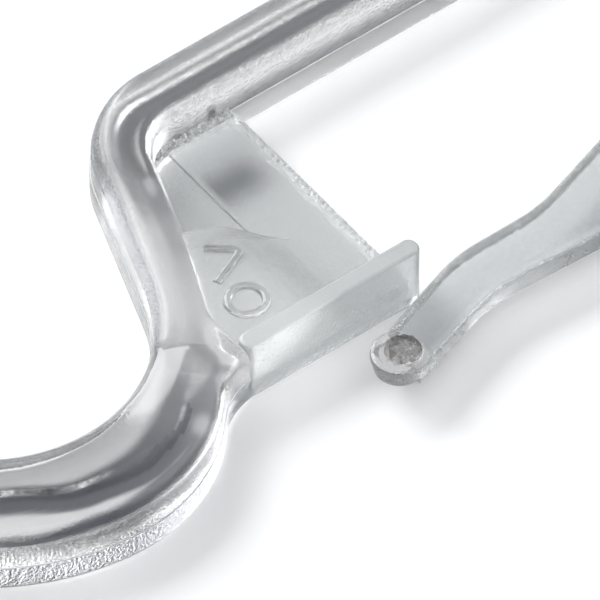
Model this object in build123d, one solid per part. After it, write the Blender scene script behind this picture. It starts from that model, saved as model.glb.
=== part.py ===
from build123d import *
import os
from math import cos, radians, sin

# Clear moulded accessory hanger, lying flat.  Millimetres, +Z up, underside at Z = 0.
# The origin is the centre of the rail that the hook hangs on; +X runs along the hanger.

DEPTH = 6.2  # thickness of the moulding
PARTING_Z = 2.3  # height of the mould's parting line
PARTING_STEP = 0.15  # the upper half is this much narrower on each side
CROWN_R = 1.3  # rounding of the upper edges

RAIL_R = 13.15  # inside radius of the hook
HOOK_R = 22.6  # outside radius of the hook
NECK_ANGLE = -46.8  # where the hook joins the loop, degrees about the rail
TIP_ANGLE = 132.0  # where the hook's round tip starts
WAIST = (11.0, -17.3)  # outer edge of the neck, where it turns from bulging to hollow

LIMB = 5.9  # width of the loop's long bar and far leg
BAR_TOP = 14.5  # outer edge of the long bar
CORNER_R = 9.6  # outer radius of the loop's two upper corners
CORNER_X = 26.0  # centre of the near corner
FAR_CORNER_X = 64.8  # centre of the far corner
LEG_ANGLE = 70.5  # slope of the near leg
LEG_KNEE = (18.4, -3.3)  # inner edge of the leg, where it bends towards the neck
NECK_INNER = (15.2, -10.5)  # inner side of the neck
INNER_CORNER_R = 3.8  # inner rounding of leg, knee and corners

KEEPER_TIP_X = 32.4
KEEPER_Y = (-15.1, -13.35)  # outer and inner face of the keeper
WEB_Z = (0.9, PARTING_Z)
WEB_EDGE_X = 31.3
WEB_STEP_X = 24.4  # left of this line the web's upper face is a little lower
WEB_RECESS_Z = 1.95
PAD_Z = 5.85
PAD_FLAT_X = 21.5  # the pad is level as far as here, then slopes to the web
PAD_EDGE_X = 27.0
RELIEF_STROKE = 0.7

PIVOT = (71.25, -16.4)
EAR_R = 6.0
SLOT_R = 6.8  # room for the gate's boss, seen from above
SLOT_Z = (1.75, 4.65)
PIN_R = 1.5
PIN_HEAD_R = 2.4
PIN_HEAD = 0.5
RUNNING_CLEARANCE = 0.05

GATE_Z = (1.85, 4.55)
GATE_CAP = 0.8  # thickness of the gate's overhanging upper plate
GATE_OVERHANG = 0.25
GATE_BOSS_R = 6.0
GATE_BEND_R = 14.0
STUD_AT = (25.1, -21.4)
STUD_R = 2.35
STUD_LOW_Z = 2.6  # the stud is shallower than the arm


def polar(radius, degrees):
    return Vector(radius * cos(radians(degrees)), radius * sin(radians(degrees)))


def slab(outline, low, high):
    """The outline extruded between two heights."""
    return Pos(0, 0, low) * extrude(outline, high - low)


def drum(centre, radius, low, high):
    """An upright cylinder between two heights."""
    return slab(Pos(*centre) * Circle(radius), low, high)


def limb_outline():
    """Flat outline of hook and loop in one: hook tip, leg, long bar, far leg, back along the inside."""
    band = HOOK_R - RAIL_R
    far_leg_x = FAR_CORNER_X + CORNER_R
    bar_bottom = BAR_TOP - LIMB
    corner_y = BAR_TOP - CORNER_R
    leg_way = polar(1, LEG_ANGLE)

    tip_middle = polar(RAIL_R + band / 2, TIP_ANGLE) + polar(band / 2, TIP_ANGLE - 90)
    tip = ThreePointArc(polar(HOOK_R, TIP_ANGLE), tip_middle, polar(RAIL_R, TIP_ANGLE))
    rail_arc = CenterArc((0, 0), RAIL_R, TIP_ANGLE, 360 + NECK_ANGLE - TIP_ANGLE)
    corner = Vector(CORNER_X, corner_y) + polar(CORNER_R, LEG_ANGLE + 90)
    # the bend that carries the rail arc on into the straight leg, tangent to both
    leg_distance = corner.dot(polar(1, LEG_ANGLE - 90))
    turn = LEG_ANGLE - 90 - NECK_ANGLE
    bend_r = (leg_distance - RAIL_R * cos(radians(turn))) / (1 - cos(radians(turn)))
    neck_bend = JernArc(rail_arc @ 1, rail_arc % 1, bend_r, turn)
    leg_head = Vector(*LEG_KNEE) + leg_way * ((bar_bottom - LEG_KNEE[1]) / leg_way.Y)
    inside = FilletPolyline(
        (far_leg_x - LIMB, PIVOT[1]),
        (far_leg_x - LIMB, bar_bottom),
        leg_head,
        LEG_KNEE,
        NECK_INNER,
        radius=INNER_CORNER_R,
    )
    keeper_root = (NECK_INNER[0], KEEPER_Y[0])
    hook_back = CenterArc((0, 0), HOOK_R, TIP_ANGLE, 265 - TIP_ANGLE)
    bulge = TangentArc(hook_back @ 1, WAIST, tangent=hook_back % 1)
    hollow = TangentArc(WAIST, keeper_root, tangent=bulge % 1)
    return make_face(
        [
            tip,
            rail_arc,
            neck_bend,
            Line(neck_bend @ 1, corner),
            CenterArc((CORNER_X, corner_y), CORNER_R, LEG_ANGLE + 90, -LEG_ANGLE),
            Line((CORNER_X, BAR_TOP), (FAR_CORNER_X, BAR_TOP)),
            CenterArc((FAR_CORNER_X, corner_y), CORNER_R, 90, -90),
            Line((far_leg_x, corner_y), (far_leg_x, PIVOT[1])),
            Line((far_leg_x, PIVOT[1]), inside @ 0),
            inside,
            Line(NECK_INNER, keeper_root),
            hollow,
            bulge,
            hook_back,
        ]
    )


def gate_outline():
    """Flat outline of the gate: S-bent arm between its stud and its hinge boss."""
    boss_top = Vector(*PIVOT) + polar(GATE_BOSS_R, 94)
    boss_foot = Vector(*PIVOT) + polar(GATE_BOSS_R, -93)
    inside = [boss_top, (56.5, -11.6), (43.5, -15.75), (35.0, -15.75), (25.6, -18.95)]
    outside = [boss_foot, (35.2, -20.58), (25.6, -23.65)]
    upper = FilletPolyline(inside, radius=GATE_BEND_R)
    lower = FilletPolyline(outside, radius=GATE_BEND_R)
    return make_face([upper, Line(upper @ 1, lower @ 1), lower, Line(boss_foot, boss_top)])


# --- the hook and the loop are one crowned limb, parted across the neck -----------------------
limb = limb_outline() + Pos(*PIVOT) * Circle(EAR_R)
crown = slab(offset(limb, -PARTING_STEP, kind=Kind.INTERSECTION), PARTING_Z, DEPTH)
crown = fillet(crown.faces().sort_by(Axis.Z)[-1].outer_wire().edges(), CROWN_R)
body = slab(limb, 0, PARTING_Z) + crown

loop_side = make_face(Polyline((0, 0), polar(140, NECK_ANGLE), (140, 60), polar(60, 75), close=True))
rail_hook = body - slab(loop_side, 0, DEPTH)
loop_frame = body & slab(loop_side, 0, DEPTH)

# the far leg ends in two ears with a slot between them for the gate
loop_frame -= drum(PIVOT, SLOT_R, *SLOT_Z)
hinge_pin = (
    drum(PIVOT, PIN_R, 0, DEPTH)
    + drum(PIVOT, PIN_HEAD_R, 0, PIN_HEAD)
    + drum(PIVOT, PIN_HEAD_R, DEPTH - PIN_HEAD, DEPTH)
)
loop_frame -= hinge_pin

# --- the corner between leg and keeper: thin web, raised pad, generic relief ------------------
web_outline = make_face(
    Polyline(
        (NECK_INNER[0] - 1, KEEPER_Y[1]),
        (WEB_EDGE_X, KEEPER_Y[1]),
        (WEB_EDGE_X, BAR_TOP - LIMB / 2),
        (CORNER_X - 3, BAR_TOP - LIMB / 2),
        (NECK_INNER[0] - 1, NECK_INNER[1]),
        close=True,
    )
)
pad_outline = make_face(
    Polyline(
        (NECK_INNER[0] - 2, KEEPER_Y[1]),
        (PAD_EDGE_X, KEEPER_Y[1]),
        (PAD_EDGE_X, -5.2),
        (LEG_KNEE[0] - 1.5, -1.4),
        (NECK_INNER[0] - 2, NECK_INNER[1]),
        close=True,
    )
)
pad_side = make_face(
    Plane.XZ
    * Polyline(
        (NECK_INNER[0] - 4, PARTING_Z),
        (PAD_EDGE_X, PARTING_Z),
        (PAD_FLAT_X, PAD_Z),
        (NECK_INNER[0] - 4, PAD_Z),
        close=True,
    )
)
web_recess = slab(Pos(WEB_STEP_X - 10, 0) * Rectangle(20, 40), WEB_RECESS_Z, PARTING_Z)
web_plate = slab(web_outline, *WEB_Z) - (web_recess - slab(pad_outline, 0, DEPTH)) - body
pad_block = extrude(pad_side, 40, both=True)
mark_pad = (slab(pad_outline, PARTING_Z, PAD_Z) & pad_block) - body

ring_at = (18.0, -10.7)
relief_ring = drum(ring_at, 1.9, PAD_Z, DEPTH) - drum(ring_at, 1.9 - RELIEF_STROKE, PAD_Z, DEPTH)
chevron = Polyline((17.2, -7.8), (20.9, -6.2), (18.6, -4.3))
relief_chevron = slab(trace(chevron, RELIEF_STROKE), PAD_Z, DEPTH)

keeper_outline = Pos((NECK_INNER[0] - 2 + KEEPER_TIP_X) / 2, sum(KEEPER_Y) / 2) * RectangleRounded(
    KEEPER_TIP_X - NECK_INNER[0] + 2, KEEPER_Y[1] - KEEPER_Y[0], 0.8
)
keeper_rib = slab(keeper_outline, 0, DEPTH) - body

# --- the gate: cap plate over a slightly narrower body, with a stud at its tip ----------------
gate_plan = gate_outline() + Pos(*PIVOT) * Circle(GATE_BOSS_R) - Pos(*STUD_AT) * Circle(STUD_R)
cap_z = GATE_Z[1] - GATE_CAP
gate_body = offset(gate_plan, -GATE_OVERHANG, kind=Kind.INTERSECTION)
gate_arm = slab(gate_plan, cap_z, GATE_Z[1]) + slab(gate_body, GATE_Z[0], cap_z)
gate_arm -= drum(PIVOT, PIN_R + RUNNING_CLEARANCE, *GATE_Z)
gate_stud = drum(STUD_AT, STUD_R, cap_z, GATE_Z[1]) + drum(STUD_AT, STUD_R - GATE_OVERHANG, STUD_LOW_Z, cap_z)

os.makedirs("parts", exist_ok=True)
nodes = {
    "rail_hook": rail_hook,
    "loop_frame": loop_frame,
    "web_plate": web_plate,
    "mark_pad": mark_pad,
    "relief_ring": relief_ring,
    "relief_chevron": relief_chevron,
    "keeper_rib": keeper_rib,
    "gate_arm": gate_arm,
    "gate_stud": gate_stud,
    "hinge_pin": hinge_pin,
}
for name, shape in nodes.items():
    export_step(shape, f"parts/{name}.step")
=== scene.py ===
from math import atan2, cos, hypot, pi, radians, sin, tan

import bmesh
import bpy
from mathutils import Matrix, Vector, noise


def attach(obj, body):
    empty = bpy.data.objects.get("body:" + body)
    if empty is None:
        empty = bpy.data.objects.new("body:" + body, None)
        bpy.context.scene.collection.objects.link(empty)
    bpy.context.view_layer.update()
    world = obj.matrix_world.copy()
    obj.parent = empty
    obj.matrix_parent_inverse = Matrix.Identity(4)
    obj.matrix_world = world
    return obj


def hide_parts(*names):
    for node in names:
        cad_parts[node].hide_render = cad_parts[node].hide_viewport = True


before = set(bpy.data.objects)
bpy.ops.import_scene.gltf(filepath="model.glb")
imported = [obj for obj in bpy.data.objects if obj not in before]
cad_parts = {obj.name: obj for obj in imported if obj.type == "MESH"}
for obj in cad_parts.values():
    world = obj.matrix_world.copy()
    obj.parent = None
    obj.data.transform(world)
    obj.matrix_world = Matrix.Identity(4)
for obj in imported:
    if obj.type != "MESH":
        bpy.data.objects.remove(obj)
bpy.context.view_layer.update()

MM = 0.001

# --- sizes shared with the CAD, in millimetres ---------------------------------------------------
DEPTH = 6.2
PARTING_Z = 2.3
PARTING_STEP = 0.15
RAIL_R = 13.15
HOOK_R = 22.6
NECK_ANGLE = -46.8
TIP_ANGLE = 132.0
WAIST = (11.0, -17.3)
LIMB = 5.9
BAR_TOP = 14.5
CORNER_R = 9.6
CORNER_X = 26.0
FAR_CORNER_X = 64.8
LEG_ANGLE = 70.5
LEG_KNEE = (18.4, -3.3)
NECK_INNER = (15.2, -10.5)
INNER_CORNER_R = 3.8
KEEPER_TIP_X = 32.4
KEEPER_Y = (-15.1, -13.35)
WEB_Z = 0.9
WEB_EDGE_X = 31.3
WEB_STEP_X = 24.4
WEB_RECESS_Z = 1.95
PAD_Z = 5.85
PAD_EDGE_X = 27.0
PIVOT = (71.25, -16.4)
EAR_R = 6.0
SLOT_R = 6.8
SLOT_Z = (1.75, 4.65)
PIN_R = 1.5
PIN_HEAD_R = 2.4
PIN_HEAD = 0.5
RUNNING_CLEARANCE = 0.05
GATE_Z = (1.85, 4.55)
GATE_OVERHANG = 0.25
GATE_BEND_R = 14.0
STUD_AT = (25.1, -21.4)
STUD_R = 2.35
STUD_LOW_Z = 2.6
RING_AT = (18.0, -10.7)
RING_R = 1.55  # middle of the ring's stroke
CHEVRON = [(17.2, -7.8), (20.9, -6.2), (18.6, -4.3)]

# sizes of the finer shape
CROWN = 1.5  # how far the rounded upper edges reach in from the sides
LIP = 0.06  # step in the wall where the rounding starts
DOME = 0.06  # how much the middle of the loop's upper face stands above its edges
HOOK_DOME = 0.4  # the same for the hook
GATE_ROUND = 1.05  # how far the rounded upper edges of the gate reach in
FOOT_INSET = 0.35  # rounding at the limb's foot, on each side
UNDERSIDE = 40  # steps across the limb's underside
SHOULDER_Z = 4.5  # faces of the loop wholly above this belong to the upper rounding
WALL_TOP_Z = 4.8  # faces that reach above this aren't wall
GROOVE_DEPTH = 0.3  # shallow groove along the underside, darkened with painted shade
LIGHT_SPOT_AT = (8.9, -16.3)  # round spot in the groove where the painted shade is lifted: a painted light spot
LIGHT_SPOT_R = 1.6
PAINTED_SHADE_WALL_Z = 4.7  # the painted shade on the hook's outer wall ends at this height
PATCH_Y = 2.4  # middle of the painted shadow patch on the web
PATCH_REACH = 3.4  # how far the patch fades out along Y
PATCH_X = 27.5  # the patch is full as far as here, then fades to the web's edge
PAD_FLAT_X = 20.2  # the pad is level as far as here, then slopes to the web
KEEPER_CORNER_R = 0.8
KEEPER_ROUND = 0.3  # rounding of the keeper's upper edge
RIDGE_R = 0.36  # half the width of the relief's strokes
RIDGE_HEIGHT = 0.34
SPRUE_AT = (25.5, -21.35)
SPRUE_R = 1.5
FLAT_AREA = 3.0 * MM * MM  # flat faces over this size are shaded flat
WELD = 0.002 * MM  # points closer than this become one
SHARP_ANGLE = 38  # edges that turn by more degrees than this are sharp

# colour of the painted shade, where the "shade" attribute is 1
PAINTED_SHADE_COLOUR = (0.15, 0.156, 0.175, 1)

CORNER_Y = BAR_TOP - CORNER_R
BAR_BOTTOM = BAR_TOP - LIMB
FAR_LEG_X = FAR_CORNER_X + CORNER_R


# --- plan curves --------------------------------------------------------------------------------
def polar(r, degrees, centre=(0.0, 0.0)):
    """The point at a radius and an angle about a centre."""
    return centre[0] + r * cos(radians(degrees)), centre[1] + r * sin(radians(degrees))


def arc(centre, r, start, end, n):
    """n + 1 points along an arc, from one angle to another, in degrees."""
    return [polar(r, start + (end - start) * i / n, centre) for i in range(n + 1)]


def circle(centre, r, n):
    """n points evenly round a circle."""
    return arc(centre, r, 0, 360, n)[:-1]


def line(p, q, n):
    """n + 1 points from p to q."""
    return [(p[0] + (q[0] - p[0]) * i / n, p[1] + (q[1] - p[1]) * i / n) for i in range(n + 1)]


def resample(points, n):
    """n + 1 points evenly spaced along a run of points."""
    lengths = [0.0]
    for p, q in zip(points, points[1:]):
        lengths.append(lengths[-1] + hypot(q[0] - p[0], q[1] - p[1]))
    out = []
    k = 0
    for i in range(n + 1):
        want = lengths[-1] * i / n
        while k < len(points) - 2 and lengths[k + 1] < want:
            k += 1
        span = lengths[k + 1] - lengths[k] or 1.0
        t = (want - lengths[k]) / span
        p, q = points[k], points[k + 1]
        out.append((p[0] + (q[0] - p[0]) * t, p[1] + (q[1] - p[1]) * t))
    return out


def tangent_arc(p, heading, q, n):
    """Arc from p, leaving at heading radians, to q.  Returns its points and the heading at q."""
    chord = atan2(q[1] - p[1], q[0] - p[0])
    half = (chord - heading + pi) % (2 * pi) - pi
    r = hypot(q[0] - p[0], q[1] - p[1]) / (2 * sin(half))
    centre = (p[0] - r * sin(heading), p[1] + r * cos(heading))
    angles = [heading + 2 * half * i / n for i in range(n + 1)]
    return [(centre[0] + r * sin(a), centre[1] - r * cos(a)) for a in angles], heading + 2 * half


def corner_arc(a, b, c, r, n):
    """The arc of radius r that rounds the corner b between a and c."""
    to_a = Vector((a[0] - b[0], a[1] - b[1])).normalized()
    to_c = Vector((c[0] - b[0], c[1] - b[1])).normalized()
    half = to_a.angle(to_c) / 2
    centre = Vector(b) + (to_a + to_c).normalized() * (r / sin(half))
    start = Vector(b) + to_a * (r / tan(half)) - centre
    end = Vector(b) + to_c * (r / tan(half)) - centre
    first = atan2(start.y, start.x)
    turn = (atan2(end.y, end.x) - first + pi) % (2 * pi) - pi
    angles = [first + turn * i / n for i in range(n + 1)]
    return [(centre.x + r * cos(a), centre.y + r * sin(a)) for a in angles]


def rounded(points, r, n=10):
    """A run of points with its inner corners rounded."""
    out = [points[0]]
    for a, b, c in zip(points, points[1:], points[2:]):
        out += corner_arc(a, b, c, r, n)
    return out + [points[-1]]


# --- meshes -------------------------------------------------------------------------------------
def new_piece(name, verts, faces, *materials, sharp_angle=SHARP_ANGLE, shade=None, kinds=None):
    """An object from points in millimetres.  kinds says, face by face, which material it takes."""
    mesh = bpy.data.meshes.new(name)
    mesh.from_pydata([(x * MM, y * MM, z * MM) for x, y, z in verts], [], faces)
    for material in materials:
        mesh.materials.append(material)
    if kinds:
        mesh.polygons.foreach_set("material_index", kinds)
    if shade:
        mesh.attributes.new("shade", "FLOAT", "POINT").data.foreach_set("value", shade)
    bm = bmesh.new()
    bm.from_mesh(mesh)
    bmesh.ops.remove_doubles(bm, verts=bm.verts, dist=WELD)
    bmesh.ops.recalc_face_normals(bm, faces=bm.faces)
    bm.to_mesh(mesh)
    bm.free()
    for poly in mesh.polygons:
        poly.use_smooth = True
    mesh.set_sharp_from_angle(angle=radians(sharp_angle))
    obj = bpy.data.objects.new(name, mesh)
    bpy.context.scene.collection.objects.link(obj)
    return obj


def sweep(side_a, side_b, profile):
    """Sections between two rails.  profile(width, i) gives (distance from a, z) round the section."""
    verts, faces = [], []
    count = 0
    for i, (a, b) in enumerate(zip(side_a, side_b)):
        width = hypot(b[0] - a[0], b[1] - a[1])
        ux, uy = (b[0] - a[0]) / width, (b[1] - a[1]) / width
        ring = profile(width, i)
        count = len(ring)
        verts += [(a[0] + ux * d, a[1] + uy * d, z) for d, z in ring]
    for i in range(len(side_a) - 1):
        for k in range(count):
            m = (k + 1) % count
            faces.append((i * count + k, i * count + m, (i + 1) * count + m, (i + 1) * count + k))
    return verts, faces, count


def revolve(centre, profile, n=96):
    """(r, z) points from the axis outwards and back to the axis, turned right round."""
    verts, faces = [], []
    for j in range(n):
        a = 2 * pi * j / n
        verts += [(centre[0] + r * cos(a), centre[1] + r * sin(a), z) for r, z in profile]
    m = len(profile)
    for j in range(n):
        k = (j + 1) % n
        for i in range(m - 1):
            faces.append((j * m + i, k * m + i, k * m + i + 1, j * m + i + 1))
    return verts, faces


def stack(outlines):
    """A closed solid through flat outlines at rising heights: [(outline, z), ...]."""
    n = len(outlines[0][0])
    verts = [(x, y, z) for outline, z in outlines for x, y in outline]
    faces = [tuple(range(n))[::-1], tuple(range(len(verts) - n, len(verts)))]
    for layer in range(len(outlines) - 1):
        low, high = layer * n, layer * n + n
        faces += [(low + i, low + (i + 1) % n, high + (i + 1) % n, high + i) for i in range(n)]
    return verts, faces


def prism(outline, low, high):
    """An outline extruded between two heights."""
    return stack([(outline, low), (outline, high)])


def side_prism(profile, near, far):
    """An (x, z) profile extruded along Y."""
    verts, faces = prism(profile, near, far)
    return [(x, y, z) for x, z, y in verts], faces


def rough_top(x_span, y_span, z_span, depth, cell):
    """A block with a pitted top, in square cells: its points lie up to depth below the top."""
    (x0, x1), (y0, y1), (low, high) = x_span, y_span, z_span
    nx, ny = int((x1 - x0) / cell), int((y1 - y0) / cell)
    verts, faces = [], []
    for j in range(ny + 1):
        for i in range(nx + 1):
            x, y = x0 + (x1 - x0) * i / nx, y0 + (y1 - y0) * j / ny
            coarse = max(0.0, noise.noise(Vector((x * 3.4, y * 3.4, 3.7))))
            fine = abs(noise.noise(Vector((x * 9, y * 9, 9))))
            verts.append((x, y, high - depth * min(1.0, coarse + 0.6 * fine)))
    row = nx + 1
    for j in range(ny):
        for i in range(nx):
            k = j * row + i
            faces.append((k, k + 1, k + row + 1, k + row))
    rim = list(range(row)) + [j * row + nx for j in range(1, ny + 1)]
    rim += [ny * row + i for i in range(nx - 1, -1, -1)] + [j * row for j in range(ny - 1, 0, -1)]
    base = len(verts)
    verts += [(verts[k][0], verts[k][1], low) for k in rim]
    m = len(rim)
    faces += [(rim[i], base + i, base + (i + 1) % m, rim[(i + 1) % m]) for i in range(m)]
    faces.append(tuple(range(base, base + m)))
    return verts, faces


def combine(target, tool, operation):
    """Applies one exact boolean to target and deletes the tool."""
    for slot in tool.material_slots:
        if slot.material.name not in target.data.materials:
            target.data.materials.append(slot.material)
    mod = target.modifiers.new("b", "BOOLEAN")
    mod.operation = operation
    mod.solver = "EXACT"
    mod.material_mode = "TRANSFER"
    mod.object = tool
    graph = bpy.context.evaluated_depsgraph_get()
    mesh = bpy.data.meshes.new_from_object(target.evaluated_get(graph), depsgraph=graph)
    target.modifiers.clear()
    old = target.data
    target.data = mesh
    bpy.data.meshes.remove(old)
    bpy.data.objects.remove(tool)


def clean(obj):
    """Closes what the booleans left open, marks sharp edges and shades large flat faces flat."""
    mesh = bmesh.new()
    mesh.from_mesh(obj.data)
    bmesh.ops.holes_fill(mesh, edges=[edge for edge in mesh.edges if edge.is_boundary])
    mesh.to_mesh(obj.data)
    mesh.free()
    obj.data.set_sharp_from_angle(angle=radians(SHARP_ANGLE))
    for face in obj.data.polygons:
        large = len(face.vertices) > 4 and face.area > FLAT_AREA
        if large and (abs(face.normal.z) > 0.999 or abs(face.normal.z) < 0.001):
            face.use_smooth = False


# --- materials ----------------------------------------------------------------------------------
def clear_plastic(
    name, *, rough, edge_rough, grain, wave, mottle, haze=0.0, tint=(0.99, 0.995, 0.998)
):
    """Clear moulded plastic with the mould's grain, strongest on tilted and upright faces.

    rough and edge_rough are the roughness of level and of tilted faces; grain and wave are fine
    and slow unevenness; mottle is how far fine specks darken the colour; haze is the share of
    light that the matted surface scatters."""
    mat = bpy.data.materials.new(name)
    mat.use_nodes = True
    nodes, links = mat.node_tree.nodes, mat.node_tree.links
    shader = nodes["Principled BSDF"]
    shader.inputs["Transmission Weight"].default_value = 1 - haze
    shader.inputs["IOR"].default_value = 1.5
    coords = nodes.new("ShaderNodeTexCoord")

    def fractal(scale, detail):
        """Fractal noise fixed to the object."""
        tex = nodes.new("ShaderNodeTexNoise")
        tex.inputs["Scale"].default_value = scale
        tex.inputs["Detail"].default_value = detail
        links.new(coords.outputs["Object"], tex.inputs["Vector"])
        return tex.outputs["Fac"]

    def math(operation, a, b):
        """One calculation on two values, each a number or another node's output."""
        node = nodes.new("ShaderNodeMath")
        node.operation = operation
        for socket, value in zip(node.inputs, (a, b)):
            if isinstance(value, float):
                socket.default_value = value
            else:
                links.new(value, socket)
        return node.outputs[0]

    def bump(height, strength, distance, normal=None):
        """Unevenness from a height, on top of another one where a normal is given."""
        node = nodes.new("ShaderNodeBump")
        node.inputs["Strength"].default_value = strength
        node.inputs["Distance"].default_value = distance * MM
        links.new(height, node.inputs["Height"])
        if normal:
            links.new(normal, node.inputs["Normal"])
        return node.outputs[0]

    # painted shade: the base colour goes towards the painted shade colour where the shade attribute
    # rises
    shade = nodes.new("ShaderNodeAttribute")
    shade.attribute_name = "shade"
    colour = nodes.new("ShaderNodeMix")
    colour.data_type = "RGBA"
    colour.inputs["B"].default_value = PAINTED_SHADE_COLOUR
    links.new(shade.outputs["Fac"], colour.inputs["Factor"])
    links.new(colour.outputs["Result"], shader.inputs["Base Color"])

    split = nodes.new("ShaderNodeSeparateXYZ")
    links.new(coords.outputs["Normal"], split.inputs[0])
    tilt = nodes.new("ShaderNodeMapRange")
    tilt.interpolation_type = "SMOOTHSTEP"
    tilt.inputs["From Min"].default_value = 0.96
    tilt.inputs["From Max"].default_value = 0.7
    links.new(split.outputs["Z"], tilt.inputs["Value"])

    # level faces keep a fifth of the grain
    cover = math("ADD", math("MULTIPLY", tilt.outputs[0], 0.8), 0.2)
    specks = nodes.new("ShaderNodeMapRange")
    specks.inputs["From Min"].default_value = 0.5
    specks.inputs["From Max"].default_value = 0.75
    links.new(fractal(5200, 3), specks.inputs["Value"])
    speckled = nodes.new("ShaderNodeMix")
    speckled.data_type = "RGBA"
    speckled.inputs["A"].default_value = (*tint, 1)
    speckled.inputs["B"].default_value = (*(c * (1 - mottle) for c in tint), 1)
    links.new(math("MULTIPLY", specks.outputs[0], cover), speckled.inputs["Factor"])
    links.new(speckled.outputs["Result"], colour.inputs["A"])

    matted = math("MULTIPLY", tilt.outputs[0], fractal(900, 6))
    roughness = nodes.new("ShaderNodeMapRange")
    roughness.inputs["From Min"].default_value = 0.2
    roughness.inputs["From Max"].default_value = 0.7
    roughness.inputs["To Min"].default_value = rough
    roughness.inputs["To Max"].default_value = edge_rough
    links.new(matted, roughness.inputs["Value"])
    links.new(roughness.outputs[0], shader.inputs["Roughness"])

    slow = bump(fractal(130, 2), wave, 0.3)
    fine = bump(math("MULTIPLY", fractal(4200, 4), cover), grain, 0.14, slow)
    links.new(fine, shader.inputs["Normal"])
    return mat


POLISHED = clear_plastic(
    "polished_plastic",
    rough=0.015,
    edge_rough=0.07,
    grain=0.2,
    wave=0.12,
    mottle=0.25,
)
GRAINED = clear_plastic(
    "grained_wall",
    rough=0.1,
    edge_rough=0.3,
    grain=0.9,
    wave=0.1,
    mottle=0.6,
    haze=0.1,
)
# the hook's lower walls: glittering grain, and a dark tint that is painted shade
GLITTER_WITH_PAINTED_SHADE = clear_plastic(
    "glittering_wall_painted_shade",
    rough=0.05,
    edge_rough=0.12,
    grain=1.0,
    wave=0.4,
    mottle=0.9,
    tint=(0.36, 0.37, 0.4),
)
CLEAR = clear_plastic(
    "clear_plastic",
    rough=0.13,
    edge_rough=0.3,
    grain=0.6,
    wave=0.1,
    mottle=0.6,
    haze=0.09,
)
BRUSHED = clear_plastic(
    "smooth_wall",
    rough=0.12,
    edge_rough=0.26,
    grain=0.3,
    wave=0.04,
    mottle=0.5,
    haze=0.1,
)
SUGARED = clear_plastic(
    "sugared_edge",
    rough=0.16,
    edge_rough=0.3,
    grain=1.0,
    wave=0.1,
    mottle=0.9,
    haze=0.1,
    tint=(0.7, 0.715, 0.745),
)
SATIN = clear_plastic(
    "satin_plastic",
    rough=0.14,
    edge_rough=0.2,
    grain=1.0,
    wave=0.08,
    mottle=0.95,
    haze=0.22,
    tint=(0.935, 0.95, 0.955),
)
DULL = clear_plastic(
    "dull_plastic",
    rough=0.17,
    edge_rough=0.24,
    grain=0.3,
    wave=0.35,
    mottle=0.1,
    haze=0.28,
    tint=(0.94, 0.96, 0.966),
)
FROST = clear_plastic(
    "frosted_edge",
    rough=0.2,
    edge_rough=0.35,
    grain=0.8,
    wave=0.1,
    mottle=0.7,
    haze=0.3,
    tint=(0.9, 0.915, 0.92),
)
GATE = clear_plastic(
    "gate_plastic",
    rough=0.12,
    edge_rough=0.3,
    grain=0.9,
    wave=0.1,
    mottle=0.8,
    haze=0.16,
    tint=(0.725, 0.745, 0.755),
)
SPRUE = clear_plastic(
    "sprue_mark",
    rough=0.03,
    edge_rough=0.08,
    grain=0.9,
    wave=0.8,
    mottle=0.9,
    tint=(0.42, 0.38, 0.36),
)


# --- the limb: hook, neck, leg, long bar and far leg in one crowned sweep ------------------------
def smooth(low, high, value):
    """Smooth step: 0 at low and 1 at high, whichever of the two is larger."""
    t = min(1.0, max(0.0, (value - low) / (high - low)))
    return t * t * (3 - 2 * t)


def underside(width, k):
    """How far point k of the underside is from the b side."""
    return FOOT_INSET + (width - 2 * FOOT_INSET) * k / UNDERSIDE


def limb_profile(width, middle=0.5, reach=0.17, depth=0.0, dome=DOME):
    """Closed section of the limb: (distance from the a side, z), from the b side's foot.

    It runs along the underside, up the a side, over the top and down the b side.  The underside's
    groove lies at the given share of the width, and reaches that share either way."""
    half = width / 2
    edge = DEPTH - dome
    ring = []
    for k in range(UNDERSIDE + 1):
        d = width - underside(width, k)
        ring.append((d, depth * (1 - smooth(0, 1, abs(d / width - middle) / reach))))
    shoulder = PARTING_STEP + LIP
    side = [(0.1, 0.03), (0.03, 0.1), (0.0, 0.3), (0.0, 1.3), (0.0, PARTING_Z - 0.06)]
    side += [(0.03, PARTING_Z), (PARTING_STEP, PARTING_Z + 0.03)]
    side += [(PARTING_STEP, edge - CROWN - 0.1), (shoulder, edge - CROWN)]
    for i in range(1, 13):
        t = radians(90 * i / 12)
        d = shoulder + (CROWN - LIP - PARTING_STEP) * (1 - cos(t))
        side.append((d, edge - CROWN * (1 - sin(t))))
    for i in range(1, 6):
        d = CROWN + (half - CROWN) * i / 6
        side.append((d, DEPTH - dome * ((half - d) / (half - CROWN)) ** 2))
    return ring + side + [(half, DEPTH)] + [(width - d, z) for d, z in side[::-1]]


def limb_half(width, dome):
    """The a side of the section, from the middle of the underside to the middle of the top."""
    ring = limb_profile(width, dome=dome)
    return [(width / 2, 0.0)] + [(d, z) for d, z in ring if d < width / 2 - 0.01] + [(width / 2, DEPTH)]


# sections along each part of the limb
HOOK_STEPS = 150
LEG_STEPS = 70
CORNER_STEPS = 30
BAR_STEPS = 80
FOOT_STEPS = 50


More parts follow.
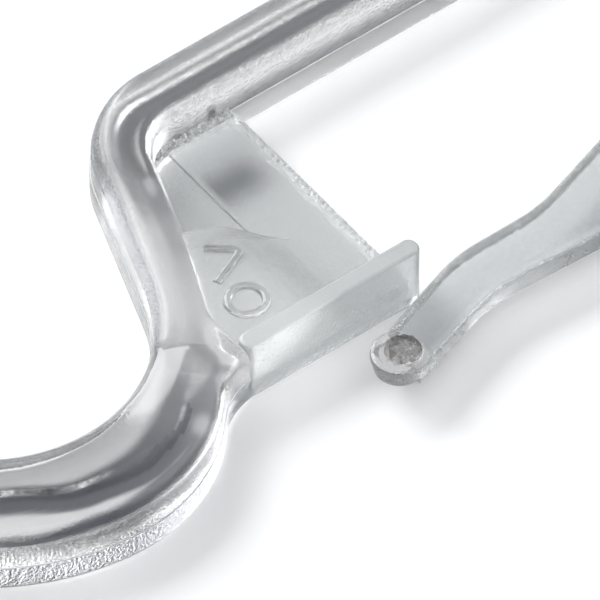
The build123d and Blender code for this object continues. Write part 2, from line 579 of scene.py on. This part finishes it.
def build_limb():
    """The limb from the hook's round tip to the far leg's foot, with its finishes and its painted
    shade.

    Side a is the rail side of the hook and the outer side of the loop; side b is the other one."""
    rail = arc((0, 0), RAIL_R, TIP_ANGLE, 360 + NECK_ANGLE, HOOK_STEPS)
    back = arc((0, 0), HOOK_R, TIP_ANGLE, 265, 90)
    keeper_root = (NECK_INNER[0], KEEPER_Y[0])
    bulge, heading = tangent_arc(back[-1], radians(355), WAIST, 24)
    hollow, heading = tangent_arc(WAIST, heading, keeper_root, 10)
    side_a = rail[:-1]
    side_b = resample(back + bulge[1:] + hollow[1:], HOOK_STEPS)[:-1]
    neck_at = len(side_a)

    # neck and leg: the bend that carries the rail arc on into the straight leg, tangent to both
    corner = (CORNER_X, CORNER_Y)
    leg_top = polar(CORNER_R, LEG_ANGLE + 90, corner)
    across = polar(1, LEG_ANGLE - 90)
    turn = radians(LEG_ANGLE - 90 - NECK_ANGLE)
    bend_r = (leg_top[0] * across[0] + leg_top[1] * across[1] - RAIL_R * cos(turn)) / (1 - cos(turn))
    bend = arc(polar(RAIL_R - bend_r, NECK_ANGLE), bend_r, NECK_ANGLE, LEG_ANGLE - 90, 16)
    leg_head = (LEG_KNEE[0] + (BAR_BOTTOM - LEG_KNEE[1]) / tan(radians(LEG_ANGLE)), BAR_BOTTOM)
    far_head = (FAR_LEG_X - LIMB, BAR_BOTTOM)
    far_foot = (FAR_LEG_X - LIMB, PIVOT[1] + 3)
    head_arc = corner_arc(LEG_KNEE, leg_head, far_head, INNER_CORNER_R, CORNER_STEPS)
    far_arc = corner_arc(leg_head, far_head, far_foot, INNER_CORNER_R, CORNER_STEPS)
    leg_inside = rounded([keeper_root, NECK_INNER, LEG_KNEE, head_arc[0]], INNER_CORNER_R)
    side_a += resample(bend + [leg_top], LEG_STEPS)[:-1]
    side_b += resample(leg_inside, LEG_STEPS)[:-1]

    side_a += arc(corner, CORNER_R, LEG_ANGLE + 90, 90, CORNER_STEPS)[:-1]
    side_b += head_arc[:-1]
    side_a += line((CORNER_X, BAR_TOP), (FAR_CORNER_X, BAR_TOP), BAR_STEPS)[:-1]
    side_b += line(head_arc[-1], far_arc[0], BAR_STEPS)[:-1]
    side_a += arc((FAR_CORNER_X, CORNER_Y), CORNER_R, 90, 0, CORNER_STEPS)[:-1]
    side_b += far_arc[:-1]
    side_a += line((FAR_LEG_X, CORNER_Y), (FAR_LEG_X, far_foot[1]), FOOT_STEPS)
    side_b += line(far_arc[-1], far_foot, FOOT_STEPS)

    leg_at = neck_at + 26
    corner_at = neck_at + LEG_STEPS - 1
    bar_at = corner_at + CORNER_STEPS - 1
    far_at = bar_at + BAR_STEPS - 1
    foot_at = len(side_a)
    # the underside's groove and its painted shade, station by station: section, middle, reach, strength
    stations = [
        (0, 0.27, 0.12, 0.0),
        (16, 0.27, 0.12, 1.0),
        (neck_at - 60, 0.27, 0.12, 1.0),
        (neck_at - 42, 0.37, 0.14, 1.0),
        (neck_at - 24, 0.46, 0.2, 0.85),
        (neck_at - 12, 0.52, 0.26, 0.7),
        (neck_at + 4, 0.5, 0.27, 0.5),
        (leg_at, 0.66, 0.2, 0.15),
        (leg_at + 24, 0.74, 0.2, 0.5),
        (corner_at, 0.7, 0.2, 0.9),
        (bar_at, 0.24, 0.18, 1.0),
        (far_at, 0.24, 0.18, 1.0),
        (foot_at - 26, 0.5, 0.17, 1.0),
        (foot_at - 12, 0.5, 0.17, 0.0),
        (foot_at, 0.5, 0.17, 0.0),
    ]

    def groove(i):
        """Middle, reach and strength of the underside's groove and its painted shade at section i."""
        for (first, *start), (last, *end) in zip(stations, stations[1:]):
            if i <= last:
                share = smooth(first, last, i)
                return [a + (b - a) * share for a, b in zip(start, end)]

    def profile(width, i):
        """The limb's section i: the hook is more domed than the loop."""
        middle, reach, strength = groove(i)
        dome = HOOK_DOME + (DOME - HOOK_DOME) * smooth(neck_at - 1, neck_at + 1, i)
        return limb_profile(width, middle, reach, GROOVE_DEPTH * strength, dome)

    def painted_shade(i, k):
        """How much painted shade point k of section i gets: in the groove, and on the outer wall by the
        neck.
        """
        middle, reach, strength = groove(i)
        if k > UNDERSIDE:
            # painted shade on the hook's outer wall by the neck
            by_neck = smooth(neck_at - 48, neck_at - 40, i) * smooth(neck_at - 14, neck_at - 22, i)
            on_wall = k > top_middle and verts[i * count + k][2] < PAINTED_SHADE_WALL_Z
            return 0.6 * by_neck * on_wall
        (ax, ay), (bx, by) = side_a[i], side_b[i]
        width = hypot(ax - bx, ay - by)
        share = 1 - underside(width, k) / width
        x, y = ax + (bx - ax) * share, ay + (by - ay) * share
        # a round spot where the painted shade is lifted, a painted light spot
        from_light_spot = hypot(x - LIGHT_SPOT_AT[0], y - LIGHT_SPOT_AT[1])
        light_spot = 1 - 0.7 * smooth(LIGHT_SPOT_R, LIGHT_SPOT_R / 4, from_light_spot)
        return strength * light_spot * smooth(1.15, 0.7, abs(share - middle) / reach)

    verts, faces, count = sweep(side_a, side_b, profile)
    top_middle = (count + UNDERSIDE + 1) // 2
    shade = [painted_shade(i, k) for i in range(len(side_a)) for k in range(count)]
    faces.append(tuple(range(len(verts) - count, len(verts))))
    # the round tip of the hook: half a section turned through 180 degrees
    centre = polar((RAIL_R + HOOK_R) / 2, TIP_ANGLE)
    tip_r = (HOOK_R - RAIL_R) / 2
    near = limb_half(2 * tip_r, HOOK_DOME)
    half = len(near)
    turns = 40
    base = len(verts)
    for j in range(turns + 1):
        angle = radians(TIP_ANGLE + 180 + 180 * j / turns)
        c, s = cos(angle), sin(angle)
        verts += [(centre[0] + (tip_r - d) * c, centre[1] + (tip_r - d) * s, z) for d, z in near]
    for j in range(turns):
        for k in range(half - 1):
            p = base + j * half + k
            faces.append((p, p + 1, p + half + 1, p + half))
    shade += [0.0] * (len(verts) - len(shade))

    def finish(face):
        """Polished hook with grained walls, the lower ones glittering and tinted dark as painted shade;
        clear loop with a sugared outer rounding.
        """
        loop = neck_at * count <= min(face) < base
        low, high = min(verts[k][2] for k in face), max(verts[k][2] for k in face)
        outer = min(face) % count < top_middle
        if loop and outer and SHOULDER_Z < low and high < DEPTH - 0.1:
            return SUGARED
        if low < 0.2 or high > WALL_TOP_Z:
            return CLEAR if loop else POLISHED
        if loop:
            return BRUSHED
        return GLITTER_WITH_PAINTED_SHADE if high < PARTING_Z + 0.01 else GRAINED

    finishes = [POLISHED, CLEAR, GRAINED, GLITTER_WITH_PAINTED_SHADE, SUGARED, BRUSHED]
    kinds = [finishes.index(finish(face)) for face in faces]
    return new_piece("clear_moulding", verts, faces, *finishes, shade=shade, kinds=kinds)


moulding = build_limb()
# the ear's foot is a hair higher than the limb's, so that their faces don't coincide
ear = [(max(0.0, EAR_R - d), max(0.015, z)) for d, z in limb_half(2 * EAR_R, DOME)]
combine(moulding, new_piece("ear", *revolve(PIVOT, ear), CLEAR), "UNION")

# --- web, pad, keeper and relief ------------------------------------------------------------------
# the blocks reach a little way into their neighbours, so that the unions are sound
web_left = NECK_INNER[0] - 0.4
web_low = KEEPER_Y[1] - 0.6
bar_inside = BAR_BOTTOM + 1.0
frost_x = WEB_EDGE_X - 0.9
recess = [
    (web_left, web_low),
    (WEB_STEP_X, web_low),
    (WEB_STEP_X, bar_inside),
    (23.4, bar_inside),
    (web_left, -9.5),
]
combine(moulding, new_piece("web_recess", *prism(recess, WEB_Z, WEB_RECESS_Z), SATIN), "UNION")
# the web's top is level, but in cells, so that the painted shadow patch has points to fade between
level = rough_top(
    (WEB_STEP_X - 0.02, frost_x + 0.2), (web_low, bar_inside), (WEB_Z, PARTING_Z), depth=0.0, cell=0.6
)
combine(moulding, new_piece("web", *level, SATIN), "UNION")
frosted = rough_top(
    (frost_x, WEB_EDGE_X),
    (web_low, bar_inside),
    (WEB_Z + 0.02, PARTING_Z + 0.02),
    depth=0.22,
    cell=0.1,
)
combine(moulding, new_piece("web_edge", *frosted, FROST, sharp_angle=60), "UNION")
flash = rough_top(
    (21.8, WEB_EDGE_X - 0.4),
    (BAR_BOTTOM - 0.55, BAR_BOTTOM + 0.8),
    (WEB_Z + 0.2, PARTING_Z + 0.55),
    depth=0.9,
    cell=0.12,
)
combine(moulding, new_piece("web_flash", *flash, FROST, sharp_angle=60), "UNION")

pad_outline = [
    (14.0, web_low),
    (PAD_EDGE_X, web_low),
    (PAD_EDGE_X, -5.2),
    (LEG_KNEE[0] - 1.5, -1.4),
    (14.0, -9.5),
]
run, rise = PAD_EDGE_X - PAD_FLAT_X, PAD_Z - PARTING_Z
slope = [(PAD_EDGE_X - run * i / 16, PARTING_Z + rise * smooth(0, 1, i / 16)) for i in range(17)]
below_slope = [(13.0, 1.6), (PAD_EDGE_X + 1, 1.6), (PAD_EDGE_X + 1, PARTING_Z - 0.03)]
pad_side = below_slope + slope + [(13.0, PAD_Z)]
pad = new_piece("pad", *prism(pad_outline, 1.4, DEPTH + 1), SATIN)
combine(pad, new_piece("pad_side", *side_prism(pad_side, -16.0, 0.0), SATIN), "INTERSECT")
combine(moulding, pad, "UNION")


def keeper_outline(inset):
    """Plan of the keeper with rounded corners, drawn in by the inset on every side."""
    x0, x1 = web_left + inset, KEEPER_TIP_X - inset
    y0, y1 = KEEPER_Y[0] + inset, KEEPER_Y[1] - inset
    r = KEEPER_CORNER_R - inset
    corners = [
        ((x1 - r, y1 - r), 90),
        ((x0 + r, y1 - r), 180),
        ((x0 + r, y0 + r), 270),
        ((x1 - r, y0 + r), 360),
    ]
    return [p for centre, end in corners for p in arc(centre, r, end - 90, end, 8)]


# the keeper's foot, too, is a hair higher than the limb's
keeper = [(keeper_outline(0.08), 0.02), (keeper_outline(0.0), 0.12)]
for degrees in (0, 22, 45, 68, 90):
    a = radians(degrees)
    keeper.append((keeper_outline(KEEPER_ROUND * (1 - cos(a))), DEPTH - KEEPER_ROUND * (1 - sin(a))))
combine(moulding, new_piece("keeper", *stack(keeper), DULL), "UNION")


def ridge(path, closed, n=12):
    """A rounded raised stroke on the pad, along a plan path."""
    verts, faces = [], []
    m = len(path)
    for i, (x, y) in enumerate(path):
        p = path[(i - 1) % m] if closed or i else path[i]
        q = path[(i + 1) % m] if closed or i < m - 1 else path[i]
        t = Vector((q[0] - p[0], q[1] - p[1])).normalized()
        for k in range(n):
            a = 2 * pi * k / n
            aside = RIDGE_R * cos(a)
            verts.append((x - t.y * aside, y + t.x * aside, PAD_Z + RIDGE_HEIGHT * sin(a)))
    for i in range(m if closed else m - 1):
        j = (i + 1) % m
        faces += [(i * n + k, i * n + (k + 1) % n, j * n + (k + 1) % n, j * n + k) for k in range(n)]
    if not closed:
        faces += [tuple(range(n)), tuple(range((m - 1) * n, m * n))]
    return verts, faces


ring = ridge(circle(RING_AT, RING_R, 48), closed=True)
combine(moulding, new_piece("ring", *ring, POLISHED), "UNION")
chevron = ridge(resample(rounded(CHEVRON, 0.4, 6), 30), closed=False)
combine(moulding, new_piece("chevron", *chevron, POLISHED), "UNION")


def mirrored(profile):
    """A lathe profile from the underside, completed with its mirror image at the top."""
    return profile + [(r, DEPTH - z) for r, z in profile[::-1]]


slot = prism(circle(PIVOT, SLOT_R, 120), *SLOT_Z)
combine(moulding, new_piece("slot", *slot, CLEAR), "DIFFERENCE")
pin_hole = mirrored([(0, -1), (PIN_HEAD_R, -1), (PIN_HEAD_R, PIN_HEAD), (PIN_R, PIN_HEAD)])
combine(moulding, new_piece("hole", *revolve(PIVOT, pin_hole, 64), CLEAR), "DIFFERENCE")
clean(moulding)
# right of the neck nothing above the groove has painted shade, but for a painted shadow patch in the
# middle of the web
for vertex, shade in zip(moulding.data.vertices, moulding.data.attributes["shade"].data):
    x, y, z = vertex.co / MM
    if x > NECK_INNER[0] and z > 2 * GROOVE_DEPTH:
        shade.value = 0.0
    if abs(z - PARTING_Z) < 0.01 and WEB_STEP_X < x < WEB_EDGE_X and y < BAR_BOTTOM:
        along = smooth(1, 0.0, abs(y - PATCH_Y) / PATCH_REACH)
        shade.value = 0.8 * along * smooth(WEB_EDGE_X, PATCH_X, x)
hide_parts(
    "rail_hook",
    "loop_frame",
    "web_plate",
    "mark_pad",
    "relief_ring",
    "relief_chevron",
    "keeper_rib",
)
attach(moulding, "hanger")

# --- hinge pin -----------------------------------------------------------------------------------
# a little smaller than its hole all round
head_r, head_z = PIN_HEAD_R - 0.04, PIN_HEAD - 0.02
pin = mirrored([(0, 0), (2.2, 0), (head_r, 0.12), (head_r, head_z), (PIN_R - 0.03, head_z)])
pin_piece = new_piece("pin", *revolve(PIVOT, pin, 64), CLEAR)
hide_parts("hinge_pin")
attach(pin_piece, "hanger")


# --- the gate ------------------------------------------------------------------------------------
def gate_profile(width):
    """Section of the gate: cap plate with rounded upper edges over a slightly narrower body."""
    low, top = GATE_Z
    side = [(width / 2, low), (0.6, low), (0.35, low + 0.04), (GATE_OVERHANG, low + 0.2)]
    side += [(GATE_OVERHANG, 2.8), (GATE_OVERHANG, 3.66), (0.2, 3.74)]
    side += [(0.06, 3.77), (0.0, 3.86), (0.0, top - 0.55)]
    for i in range(1, 9):
        t = radians(90 * i / 8)
        side.append((GATE_ROUND * (1 - cos(t)), top - 0.04 - 0.51 * (1 - sin(t))))
    for t in (0.35, 0.7, 1.0):
        side.append((GATE_ROUND + (width / 2 - GATE_ROUND) * t, top - 0.04 * (1 - t)))
    return side + [(width - d, z) for d, z in side[-2:0:-1]]


gate_top = [polar(EAR_R, 94, PIVOT), (56.5, -11.6), (43.5, -15.75), (35.0, -15.75), (25.7, -18.95)]
gate_foot = [polar(EAR_R, -93, PIVOT), (35.2, -20.58), (25.7, -23.6)]
rails = [resample(rounded(points, GATE_BEND_R, 24), 160) for points in (gate_top, gate_foot)]
verts, faces, count = sweep(*rails, lambda width, i: gate_profile(width))
faces += [tuple(range(count)), tuple(range(len(verts) - count, len(verts)))]
gate = new_piece("gate", verts, faces, GATE)
section = gate_profile(2 * EAR_R)
boss = [(max(0.0, EAR_R - d), z) for d, z in section[: len(section) // 2 + 1]]
combine(gate, new_piece("gate_boss", *revolve(PIVOT, boss), GATE), "UNION")
# the stud's lathe profile: body, overhanging cap, and a shallow dip in the top
stud_body = [(0, STUD_LOW_Z), (1.85, STUD_LOW_Z), (2.03, 2.66), (2.1, 2.85), (2.1, 3.66), (2.2, 3.74)]
stud_cap = [(2.33, 3.82), (STUD_R, 3.95), (STUD_R, 4.25), (2.28, 4.42), (2.1, 4.52)]
stud_dip = [(1.9, 4.52), (1.75, 4.44), (1.66, 4.34), (0, 4.32)]
stud = revolve(STUD_AT, stud_body + stud_cap + stud_dip)
combine(gate, new_piece("stud", *stud, CLEAR), "UNION")


def torn_dish(centre, radius, low, high):
    """A rough hollow where the sprue was broken off: a lens-shaped tool with an uneven skin."""
    profile = [(0, low), (radius * 0.5, low + 0.06), (radius * 0.85, low + 0.16)]
    profile += [(radius, low + 0.36), (radius, high), (0, high)]
    verts, faces = revolve(centre, resample(profile, 22), 40)
    skin = []
    for x, y, z in verts:
        coarse = noise.noise(Vector((x * 2.2, y * 2.2, z * 2.2)))
        fine = noise.noise(Vector((x * 6, y * 6, z * 6)))
        shift = 0.3 * coarse + 0.2 * fine if z < high - 0.05 else 0.0
        skin.append((x + shift * 0.6, y + shift * 0.6, z + shift))
    return skin, faces


dish = torn_dish(SPRUE_AT, SPRUE_R, 3.7, 5.0)
combine(gate, new_piece("dish", *dish, SPRUE, sharp_angle=30), "DIFFERENCE")
bore = prism(circle(PIVOT, PIN_R + RUNNING_CLEARANCE, 60), 1.0, 5.2)
combine(gate, new_piece("bore", *bore, CLEAR), "DIFFERENCE")
clean(gate)
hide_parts("gate_arm", "gate_stud")
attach(gate, "gate")

# --- floor, light and camera -----------------------------------------------------------------------
floor_mat = bpy.data.materials.new("floor")
floor_mat.use_nodes = True
floor_shader = floor_mat.node_tree.nodes["Principled BSDF"]
floor_shader.inputs["Base Color"].default_value = (0.93, 0.93, 0.935, 1)
floor_shader.inputs["Roughness"].default_value = 0.7
FLOOR_HALF = 1500
FLOOR_Z = -0.02
signs = ((-1, -1), (1, -1), (1, 1), (-1, 1))
floor_corners = [(x * FLOOR_HALF, y * FLOOR_HALF, FLOOR_Z) for x, y in signs]
floor = new_piece("floor", floor_corners, [(0, 1, 2, 3)], floor_mat)

AIM = Vector((0.0245, -0.0092, 0.0))
YAW, ELEVATION, DISTANCE = radians(37.4), radians(49.0), 1.2
forward = Vector((sin(YAW) * cos(ELEVATION), cos(YAW) * cos(ELEVATION), -sin(ELEVATION)))
right = Vector((cos(YAW), -sin(YAW), 0))
up = right.cross(forward)


# a dim room under a bright ceiling, with a dark flag where the flat faces would mirror the light
world = bpy.data.worlds.new("studio")
bpy.context.scene.world = world
world.use_nodes = True
nodes, links = world.node_tree.nodes, world.node_tree.links
sky = nodes.new("ShaderNodeTexCoord")


def sky_lobe(direction, start, full, low, high):
    """Strength that goes from low to high as the view turns towards a direction."""
    turned = nodes.new("ShaderNodeVectorMath")
    turned.operation = "DOT_PRODUCT"
    turned.inputs[1].default_value = direction
    links.new(sky.outputs["Generated"], turned.inputs[0])
    lobe = nodes.new("ShaderNodeMapRange")
    lobe.interpolation_type = "SMOOTHSTEP"
    for name, value in (("From Min", start), ("From Max", full), ("To Min", low), ("To Max", high)):
        lobe.inputs[name].default_value = value
    links.new(turned.outputs["Value"], lobe.inputs["Value"])
    return lobe.outputs[0]


strength = nodes.new("ShaderNodeMath")
strength.operation = "MULTIPLY"
links.new(sky_lobe((0, 0, 1), 0.35, 0.8, 0.05, 1.5), strength.inputs[0])
links.new(sky_lobe((forward.x, forward.y, -forward.z), 0.72, 0.93, 1.0, 0.04), strength.inputs[1])
links.new(strength.outputs[0], nodes["Background"].inputs["Strength"])
nodes["Background"].inputs["Color"].default_value = (0.975, 0.985, 1, 1)


def softbox(name, offset, size, watts):
    """A rectangular soft light at an offset from the middle of the hanger, turned towards it."""
    data = bpy.data.lights.new(name, "AREA")
    data.shape = "RECTANGLE"
    data.size, data.size_y = size
    data.energy = watts
    obj = bpy.data.objects.new(name, data)
    obj.location = AIM + Vector(offset)
    obj.rotation_euler = Vector(offset).to_track_quat("Z", "Y").to_euler()
    bpy.context.scene.collection.objects.link(obj)


softbox("back_softbox", (-0.08, 0.66, 0.48), (0.7, 0.55), 8.4)

camera_data = bpy.data.cameras.new("camera")
camera_data.lens = 900  # a very long lens, as the photograph shows hardly any perspective
camera_data.sensor_width = 36
camera_data.clip_start = 0.01
camera = bpy.data.objects.new("camera", camera_data)
facing = Matrix((right, up, -forward)).transposed().to_4x4()
camera.matrix_world = Matrix.Translation(AIM - forward * DISTANCE) @ facing
bpy.context.scene.collection.objects.link(camera)
bpy.context.scene.camera = camera
bpy.context.scene.view_settings.view_transform = "Standard"
